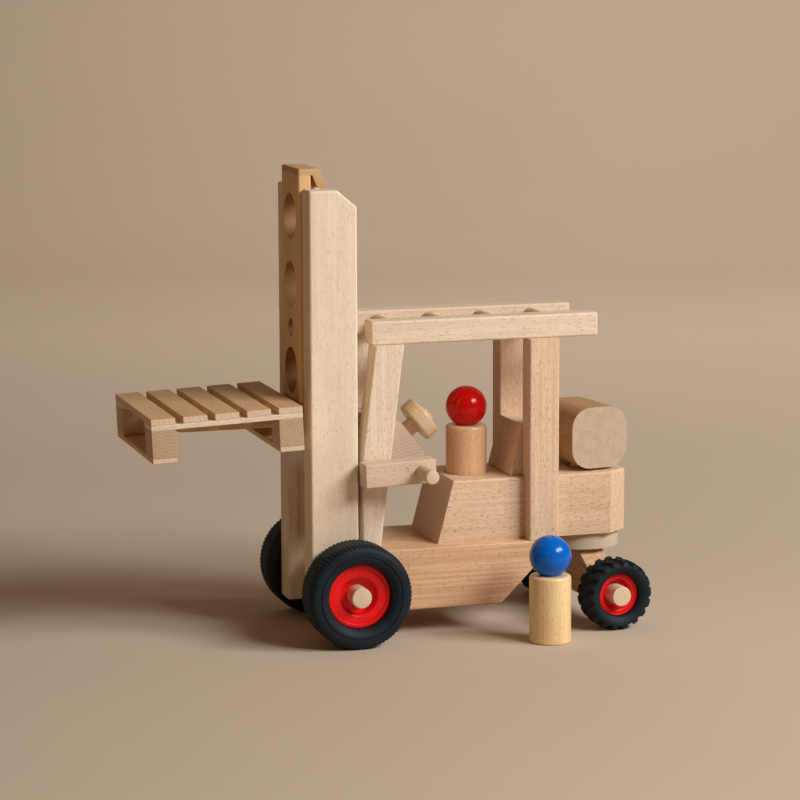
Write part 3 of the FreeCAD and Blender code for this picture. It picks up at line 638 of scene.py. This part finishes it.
# ---------------------------------------------------------------- woods
GRAINS = {
    "honey": {"X": ("base_beam",), "Y": ("rear_axle_block", "pallet_blocks")},
    "tan": {"X": ("seat_block",), "Z": ("rear_post_left", "rear_post_right", "seat_back")},
    "cream": {
        "X": ("roof_rail_left", "roof_rail_right", "pallet_stringers"),
        "Z": ("front_pillar_left", "front_pillar_right"),
    },
    "amber": {
        "X": ("fork_left", "fork_right"),
        "Y": ("carriage_hook", "crossbar", "fork_block", "tank"),
        "Z": ("carriage_board", "guide_strip_left", "guide_strip_right"),
    },
    "deck": {"Y": ("pallet_slats", "pallet_bottom_boards")},
    "pale": {"Y": ("turntable_disc",), "Z": ("mast_upright_left", "mast_upright_right")},
    "pink": {"X": ("crank_arm",), "Y": ("console",)},
    "dowel": {
        "X": ("mast_dowels", "fork_dowels"),
        "Y": ("roller_pin", "top_roller", "crank_drum", "crank_shaft", "roof_rungs"),
        "Z": ("frame_dowels", "steering_spindle"),
    },
}
PLANKS = {
    "honey": Plank(fleck=0.85, fleck_length=1.3, ring_gap=3.0 * MM, rings=0.55, streaks=0.80),
    "tan": Plank(fleck=0.85, fleck_length=1.2, rings=0.24, streaks=0.50),
    "cream": Plank(fleck=0.66, fleck_length=1.1, rings=0.16, streaks=0.36),
    "amber": Plank(fleck=0.50, fleck_length=1.2, rings=0.16, end_rings=0.12, end_share=0.0, streaks=0.40),
    # the carriage board, with painted shade on the walls of its bores
    "painted_bore_shade": Plank(
        fleck=0.50, fleck_length=1.2, rings=0.16, end_rings=0.12, end_share=0.0, streaks=0.40,
        bore_shade_reach=15.0 * MM,
    ),
    "deck": Plank(
        fleck=0.45, ring_gap=2.8 * MM, heart=24.0 * MM, rings=0.16, end_rings=0.30, end_share=0.9,
        streaks=0.34,
    ),
    "pale": Plank(fleck=0.42, fleck_length=0.9, rings=0.05, streaks=0.20),
    "pink": Plank(fleck=0.70, rings=0.14, end_rings=0.50, end_share=0.15, streaks=0.30),
    "dowel": Plank(fleck=0.45, fleck_length=1.2, ring_gap=1.5 * MM, end_rings=0.50, end_share=0.2),
    "figure": Plank(fleck=0.55, ring_gap=2.6 * MM, rings=0.20, streaks=0.28, roughness=0.33, coat=0.40),
    "log": Plank(
        fleck=0.60, ring_gap=1.5 * MM, heart=110.0 * MM, rings=0.40, end_rings=0.62, end_share=0.95,
        streaks=0.60, turn=0.875,
    ),
}
OWN_PLANKS = {
    "tank": "log",
    "driver_body": "figure",
    "pallet_blocks": "pink",
    "carriage_board": "painted_bore_shade",
}
TONES = {
    "mast_upright_left": 1.04, "mast_upright_right": 0.92, "front_pillar_left": 1.04, "fork_block": 0.9,
    "tank": 0.80, "console": 0.77, "pallet_blocks": 0.70, "turntable_disc": 0.72, "steering_wheel": 0.78,
    "carriage_board": 1.35, "carriage_hook": 1.05, "guide_strip_left": 1.2, "guide_strip_right": 1.2,
    "crossbar": 1.2, "rear_axle_block": 0.85,
}


def centre_of(node):
    """The middle of a CAD piece's box."""
    low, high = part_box(node)
    return tuple((low + high) / 2)


def wood_for(node, tone, grain, seed, name=None):
    """The beech of one piece, cut from its own plank."""
    woods = bpy.context.scene.forklift_wood
    factor = TONES.get(node, 1.0)
    colour = shade(getattr(woods, tone), factor)
    end_colour = shade(woods.end, factor)
    plank = PLANKS[OWN_PLANKS.get(node, tone)]
    return beech((name or node) + "_beech", colour, end_colour, grain, centre_of(node), seed, plank)


class FORKLIFT_OT_boards(bpy.types.Operator):
    """Give every board and dowel that stays as it is its own plank of beech."""

    bl_idname = "forklift.boards"
    bl_label = "Finish the boards"

    def execute(self, context):
        """Paint the boards."""
        seed = 1
        for tone, grains in GRAINS.items():
            for grain, names in grains.items():
                for node in names:
                    paint(node, wood_for(node, tone, grain, seed))
                    seed += 1
        return {"FINISHED"}


# ---------------------------------------------------------------- wheels
def rim_outline(rim_low, tyre_low, high, radius, bore, ring, depth):
    """A rim's section: hub, bead, a shallow groove, a flat ring and a deep dish round the axle."""
    hub = bore + HUB_WALL
    seat = radius - SEAT_DEPTH
    under_bead = high - BEAD_WIDTH
    groove = radius - GROOVE_SHARE * ring
    ledge = high - LEDGE_DEPTH
    dish = radius - ring
    points = [
        (bore, rim_low),
        (hub, rim_low),
        (hub, tyre_low),
        (seat, tyre_low),
        (seat, under_bead),
        (radius, under_bead),
        (radius, high),
        (groove + RIM_GROOVE, high),
        (groove, ledge - 0.3 * MM),
        (groove - RIM_GROOVE, ledge),
        (dish, ledge - 0.2 * MM),
        (dish - DISH_SLOPE, high - depth),
        (bore, high - depth),
    ]
    corners = [0, 0, 0, 0, 0, 0.2 * MM, 0.8 * MM, 0.25 * MM, 0.2 * MM, 0.2 * MM, 0.8 * MM, 1.0 * MM, 0]
    return rounded(points, corners)


def tyre_wall(lip, lip_end, shoulder, shoulder_start, grooved):
    """(share of the wall's height, depth below the outer face) from the rim's edge onto the tread."""
    points = []
    for step in range(LIP_STEPS + 1):
        way = step / LIP_STEPS
        points.append((LIP_START + (lip_end - LIP_START) * way, lip * (1.0 - way) ** 2))
    if grooved:
        near = lip_end + WALL_GROOVE
        points += [(near, 0.0), (near + WALL_GROOVE, GROOVE_DEPTH)]
        points += [(near + 2 * WALL_GROOVE, GROOVE_DEPTH), (near + 3 * WALL_GROOVE, 0.0)]
    for step in range(SHOULDER_STEPS + 1):
        angle = QUARTER_TURN * step / SHOULDER_STEPS
        share = shoulder_start + (1.0 - shoulder_start) * math.sin(angle)
        points.append((share, shoulder * (1.0 - math.cos(angle))))
    points += [(1.0, shoulder + ring * TREAD_GAP) for ring in range(1, TREAD_RINGS + 1)]
    return points


def tyre_outline(low, high, outer, rim, rim_place, wall_points):
    """A tyre's section, with the same wall on both sides where the rim doesn't hide it."""
    wall = outer - rim
    seat = rim - SEAT_DEPTH
    under_bead = rim_place - BEAD_WIDTH
    edge = rim + TYRE_GAP
    start = rim + INNER_WALL_START * wall
    hidden = [(seat, low), (seat, under_bead), (edge, under_bead), (edge, rim_place)]
    outside = [(rim + share * wall, high - depth) for share, depth in wall_points]
    inside = [(radius, low + high - place) for radius, place in reversed(outside) if radius > start]
    return hidden + outside + inside


def around(radial, axis):
    """A direction's angle round an axis."""
    side = axis.cross(UP).normalized()
    return math.atan2(radial.dot(side), radial.dot(UP)) % FULL_TURN


def notch(bm, origin, axis, outer, rim, count, depth, middle, half):
    """Press fine notches into both shoulders of a front tyre."""
    wall = outer - rim
    for vertex in bm.verts:
        arm = vertex.co - origin
        place = arm.dot(axis)
        radial = arm - axis * place
        reach = (radial.length - rim) / wall
        share = abs(place - middle) / half
        if reach < NOTCH_START or share < NOTCH_SIDE:
            continue
        slant = NOTCH_SLANT * (share - NOTCH_SIDE)
        phase = (around(radial, axis) * count / FULL_TURN + slant) % 1.0
        if phase < NOTCH_SHARE:
            fade = min(1.0, (reach - NOTCH_FADE_START) / NOTCH_FADE)
            vertex.co -= radial.normalized() * depth * fade


def lug(bm, origin, axis, outer, rim, count, depth, middle, half):
    """Cut the spaces between the slanting lugs of a rear tyre, half a pitch apart on the two sides."""
    wall = outer - rim
    for vertex in bm.verts:
        arm = vertex.co - origin
        place = arm.dot(axis)
        radial = arm - axis * place
        reach = (radial.length - rim) / wall
        if reach < LUG_START:
            continue
        share = (place - middle) / half
        offset = 0.5 if share > 0 else 0.0
        slant = LUG_SLANT * abs(share)
        phase = (around(radial, axis) * count / FULL_TURN + offset + slant) % 1.0
        gap = 0.5 + 0.5 * math.cos(FULL_TURN * phase)
        cut = max(0.0, min(1.0, (gap - LUG_EDGE) / LUG_RAMP))
        fade = max(0.0, min(1.0, (reach - LUG_START) / LUG_FADE))
        inward = radial.normalized() * depth * cut * fade
        vertex.co -= inward * (0.5 if abs(share) < LUG_RIDGE else 1.0)


def make_tyre(wheels, which, origin, direction, low, high, outer, rim, rim_place):
    """A tyre's bmesh with its tread."""
    middle = (low + high) / 2
    half = (high - low) / 2
    if which == "front":
        wall = tyre_wall(wheels.front_lip, FRONT_LIP_END, wheels.front_shoulder, FRONT_SHOULDER_START, True)
        count, depth, steps, cut = wheels.front_notches, wheels.notch_depth, STEPS_PER_NOTCH, notch
    else:
        wall = tyre_wall(wheels.rear_lip, REAR_LIP_END, wheels.rear_shoulder, REAR_SHOULDER_START, False)
        count, depth, steps, cut = wheels.rear_lugs, wheels.lug_depth, STEPS_PER_LUG, lug
    outline = tyre_outline(low, high, outer, rim, rim_place, wall)
    tyre = lathe(outline, origin, direction, steps * count)
    cut(tyre, origin, direction, outer, rim, count, depth, middle, half)
    return tyre


def make_wheel(context, which, side):
    """One rim and one tyre."""
    wheels = context.scene.forklift_wheels
    axis, joint = (ACROSS, "front_wheels_turn") if which == "front" else (REAR_AXLE, "rear_wheels_turn")
    origin = Vector(JOINTS[joint]["pos_m"])
    tyre_node = which + "_tyre_" + side
    rim_node = which + "_rim_" + side
    direction = axis if side == "left" else -axis
    low, high, outer = span(tyre_node, origin, direction)
    rim_low, rim_high, rim = span(rim_node, origin, direction)
    bore = span(which + "_axle", origin, axis)[2]
    ring = wheels.front_ring if which == "front" else wheels.rear_ring
    section = rim_outline(rim_low, low, rim_high, rim, bore, ring, wheels.dish)
    moulding = lathe(section, origin, direction, RIM_STEPS)
    piece(moulding, rim_node + "_moulding", rim_node, MATERIALS["rim"])
    tyre = make_tyre(wheels, which, origin, direction, low, high, outer, rim, rim_high)
    piece(tyre, tyre_node + "_rubber", tyre_node, MATERIALS["rubber"], RUBBER_ANGLE)


def make_dowel(name, node, origin, axis, edge):
    """A round dowel with softened ends, in place of a plain one."""
    low, high, radius = span(node, origin, axis)
    points = [(0.0, low), (radius, low), (radius, high), (0.0, high)]
    outline = rounded(points, [0, edge, edge, 0])
    bm = lathe(outline, origin, axis, DOWEL_STEPS, closed=False)
    piece(bm, name, node, wood_for(node, "dowel", "Y", PLANK_SEEDS[node], name))


class FORKLIFT_OT_wheels(bpy.types.Operator):
    """Make the moulded rims, the rubber tyres with their treads, and the axles."""

    bl_idname = "forklift.wheels"
    bl_label = "Make the wheels"

    def execute(self, context):
        """Make four wheels and two axles."""
        for which in ("front", "rear"):
            for side in ("left", "right"):
                make_wheel(context, which, side)
        front = Vector(JOINTS["front_wheels_turn"]["pos_m"])
        rear = Vector(JOINTS["rear_wheels_turn"]["pos_m"])
        make_dowel("front_axle_dowel", "front_axle", front, ACROSS, 0.6 * MM)
        make_dowel("rear_axle_dowel", "rear_axle", rear, REAR_AXLE, 0.6 * MM)
        return {"FINISHED"}


# ---------------------------------------------------------------- crank and steering wheel
class FORKLIFT_OT_controls(bpy.types.Operator):
    """Make the crank's peg and the steering wheel, and give the fluted column its beech."""

    bl_idname = "forklift.controls"
    bl_label = "Make the controls"

    def execute(self, context):
        """Make the peg and the steering wheel."""
        peg = centre_of("crank_peg")
        root = Vector((peg[0], 0.0, peg[2]))
        make_dowel("crank_peg_dowel", "crank_peg", root, ACROSS, 1.0 * MM)
        foot = Vector(JOINTS["steering_wheel_turn"]["pos_m"])
        column_seed = PLANK_SEEDS["steering_column"]
        paint("steering_column", wood_for("steering_column", "dowel", "X", column_seed))
        low, high, radius = span("steering_wheel", foot, COLUMN)
        bore = span("steering_column", foot, COLUMN)[2]
        points = [(bore, low), (radius, low), (radius, high), (bore, high)]
        outline = rounded(points, [0, 1.4 * MM, 1.4 * MM, 0.5 * MM], 4)
        bm = lathe(outline, foot, COLUMN, DISC_STEPS)
        wood = wood_for("steering_wheel", "figure", "Y", PLANK_SEEDS["steering_wheel"])
        piece(bm, "steering_wheel_disc", "steering_wheel", wood)
        return {"FINISHED"}


# ---------------------------------------------------------------- figures
def make_figure(who, tone, ball_material):
    """One peg figure: a turned body and its ball."""
    low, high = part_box(who + "_body")
    ball_low, ball_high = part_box(who + "_head")
    radius = min(high.x - low.x, high.y - low.y) / 2
    ball = (ball_high.z - ball_low.z) / 2
    foot = Vector(((low.x + high.x) / 2, (low.y + high.y) / 2, low.z))
    height = high.z - low.z
    ball_centre = (ball_low.z + ball_high.z) / 2 - low.z
    sink = height - (ball_centre - ball)
    dish = math.sqrt(max(0.0, ball * ball - (ball - sink) ** 2))
    points = [
        (0.0, 0.0),
        (radius, 0.0),
        (radius, height),
        (dish, height),
        (dish * 0.5, height - sink * 0.75),
        (0.0, height - sink),
    ]
    outline = rounded(points, [0, FOOT_EDGE, SHOULDER_EDGE, 0, 0, 0], 5)
    body = lathe(outline, foot, UP, DISC_STEPS, closed=False)
    node = who + "_body"
    piece(body, who + "_peg", node, wood_for(node, tone, "Z", PLANK_SEEDS[node]))
    arc = [(0.0, ball_centre - ball)]
    for step in range(1, BALL_ARCS):
        angle = -QUARTER_TURN + math.pi * step / BALL_ARCS
        arc.append((ball * math.cos(angle), ball_centre + ball * math.sin(angle)))
    arc.append((0.0, ball_centre + ball))
    head = lathe(arc, foot, UP, BALL_STEPS, closed=False)
    piece(head, who + "_ball", who + "_head", ball_material)


class FORKLIFT_OT_figures(bpy.types.Operator):
    """Make the driver and the worker with their lacquered ball heads."""

    bl_idname = "forklift.figures"
    bl_label = "Make the figures"

    def execute(self, context):
        """Make both figures."""
        paints = context.scene.forklift_paint
        make_figure("driver", "russet", lacquer("red_lacquer", paints.red))
        make_figure("worker", "figure", lacquer("blue_lacquer", paints.blue))
        return {"FINISHED"}


# ---------------------------------------------------------------- stage
class FORKLIFT_OT_finishes(bpy.types.Operator):
    """Mix the finishes that several pieces share."""

    bl_idname = "forklift.finishes"
    bl_label = "Mix the shared finishes"

    def execute(self, context):
        """Make the rim plastic and the rubber."""
        paints = context.scene.forklift_paint
        MATERIALS["rim"] = rim_plastic("rim_plastic", paints.rim)
        MATERIALS["rubber"] = rubber("tyre_rubber", paints.rubber)
        return {"FINISHED"}


def add_sweep(colour):
    """The floor that curves up into a backdrop."""
    bm = bmesh.new()
    outline = [(SWEEP_FRONT, 0.0), (SWEEP_BEND - SWEEP_BACK, 0.0)]
    for step in range(1, SWEEP_STEPS + 1):
        angle = QUARTER_TURN * step / SWEEP_STEPS
        behind = SWEEP_BEND * (1.0 - math.sin(angle)) - SWEEP_BACK
        outline.append((behind, SWEEP_BEND * (1.0 - math.cos(angle))))
    outline.append((-SWEEP_BACK, SWEEP_HEIGHT))
    corners = [bm.verts.new((-SWEEP_REACH, forward, rise)) for forward, rise in outline]
    edges = [bm.edges.new(pair) for pair in zip(corners, corners[1:])]
    swept = bmesh.ops.extrude_edge_only(bm, edges=edges)
    moved = [item for item in swept["geom"] if isinstance(item, bmesh.types.BMVert)]
    bmesh.ops.translate(bm, verts=moved, vec=(2 * SWEEP_REACH, 0, 0))
    bmesh.ops.recalc_face_normals(bm, faces=bm.faces)
    for face in bm.faces:
        face.smooth = True
    mesh = bpy.data.meshes.new("sweep")
    bm.to_mesh(mesh)
    bm.free()
    shader = Shader("sweep_paper")
    place = shader.place()
    cloud = shader.noise(place, scale=2.5, detail=2.0)
    tone = shader.mixed(shader.between(cloud, *NOISE_RANGE), shade(colour, 0.985), shade(colour, 1.015))
    shader.link(tone, shader.surface.inputs["Base Color"])
    shader.surface.inputs["Roughness"].default_value = 0.8
    shader.surface.inputs["Specular IOR Level"].default_value = 0.15
    mesh.materials.append(shader.material)
    sweep = bpy.data.objects.new("sweep", mesh)
    bpy.context.scene.collection.objects.link(sweep)
    azimuth = bpy.context.scene.forklift_studio.azimuth
    mesh.transform(Matrix.Rotation(azimuth - math.pi, 4, "Z"))


def add_light(name, place, target, size, power):
    """A square soft light that looks at a target."""
    light = bpy.data.lights.new(name, "AREA")
    light.shape = "SQUARE"
    light.size = size
    light.energy = power
    light.color = LAMP_WHITE
    lamp = bpy.data.objects.new(name, light)
    lamp.location = place
    lamp.rotation_mode = "QUATERNION"
    lamp.rotation_quaternion = (Vector(target) - Vector(place)).to_track_quat("-Z", "Y")
    lamp.visible_camera = False
    bpy.context.scene.collection.objects.link(lamp)


def add_camera(studio):
    """The camera, with a little roll and shift."""
    level = math.cos(studio.elevation)
    back = Vector(
        (
            math.sin(studio.azimuth) * level,
            -math.cos(studio.azimuth) * level,
            math.sin(studio.elevation),
        )
    )
    right = (-back).cross(UP).normalized()
    upward = right.cross(-back)
    right_rolled = right * math.cos(studio.roll) + upward * math.sin(studio.roll)
    up_rolled = upward * math.cos(studio.roll) - right * math.sin(studio.roll)
    data = bpy.data.cameras.new("camera")
    data.lens = studio.lens
    data.sensor_width = SENSOR_WIDTH
    data.shift_x = CAMERA_SHIFT[0]
    data.shift_y = CAMERA_SHIFT[1]
    data.dof.use_dof = False
    camera = bpy.data.objects.new("camera", data)
    camera.matrix_world = Matrix.Translation(CAMERA_PLACE) @ Matrix(
        (right_rolled, up_rolled, back)
    ).transposed().to_4x4()
    bpy.context.scene.collection.objects.link(camera)
    bpy.context.scene.camera = camera


class FORKLIFT_OT_stage(bpy.types.Operator):
    """Set the pale sweep, the window light and the camera."""

    bl_idname = "forklift.stage"
    bl_label = "Set the stage"

    def execute(self, context):
        """Make floor, lights and camera."""
        studio = context.scene.forklift_studio
        add_sweep(studio.floor)
        add_light("window_pane_near", PANE_NEAR, LIGHT_TARGET, PANE_SIZE, studio.key_power)
        add_light("window_pane_far", PANE_FAR, LIGHT_TARGET, PANE_SIZE, studio.key_power)
        add_light("glint", GLINT_PLACE, LIGHT_TARGET, GLINT_SIZE, studio.glint_power)
        add_light("backdrop_wash", WASH_PLACE, WASH_TARGET, WASH_SIZE, studio.wash_power)
        world = bpy.data.worlds.new("room")
        world.use_nodes = True
        background = world.node_tree.nodes["Background"]
        background.inputs["Color"].default_value = ROOM_COLOUR
        background.inputs["Strength"].default_value = studio.fill
        context.scene.world = world
        context.scene.view_settings.view_transform = "Standard"
        add_camera(studio)
        return {"FINISHED"}


# ---------------------------------------------------------------- add-on
class FORKLIFT_PT_panel(bpy.types.Panel):
    """The settings and the steps, in the sidebar."""

    bl_idname = "FORKLIFT_PT_panel"
    bl_label = "Toy Forklift"
    bl_space_type = "VIEW_3D"
    bl_region_type = "UI"
    bl_category = "Toy Forklift"

    def draw(self, context):
        """List the settings and the steps."""
        for settings in SETTINGS:
            group = getattr(context.scene, settings)
            box = self.layout.box()
            for name in group.bl_rna.properties.keys():
                if name not in ("rna_type", "name"):
                    box.prop(group, name)
        for operator in OPERATORS:
            self.layout.operator(operator.bl_idname)


SETTINGS = {
    "forklift_wood": WoodSettings,
    "forklift_paint": PaintSettings,
    "forklift_wheels": WheelSettings,
    "forklift_studio": StudioSettings,
}
OPERATORS = (
    FORKLIFT_OT_stage,
    FORKLIFT_OT_finishes,
    FORKLIFT_OT_boards,
    FORKLIFT_OT_wheels,
    FORKLIFT_OT_controls,
    FORKLIFT_OT_figures,
)


def register():
    """Register the settings, the operators and the panel."""
    for name, group in SETTINGS.items():
        bpy.utils.register_class(group)
        setattr(bpy.types.Scene, name, PointerProperty(type=group))
    for operator in OPERATORS:
        bpy.utils.register_class(operator)
    bpy.utils.register_class(FORKLIFT_PT_panel)


def unregister():
    """Take them away again."""
    bpy.utils.unregister_class(FORKLIFT_PT_panel)
    for operator in reversed(OPERATORS):
        bpy.utils.unregister_class(operator)
    for name, group in SETTINGS.items():
        delattr(bpy.types.Scene, name)
        bpy.utils.unregister_class(group)


def main():
    """Run every step."""
    register()
    bpy.ops.forklift.stage()
    bpy.ops.forklift.finishes()
    bpy.ops.forklift.boards()
    bpy.ops.forklift.wheels()
    bpy.ops.forklift.controls()
    bpy.ops.forklift.figures()


if __name__ == "__main__":
    main()
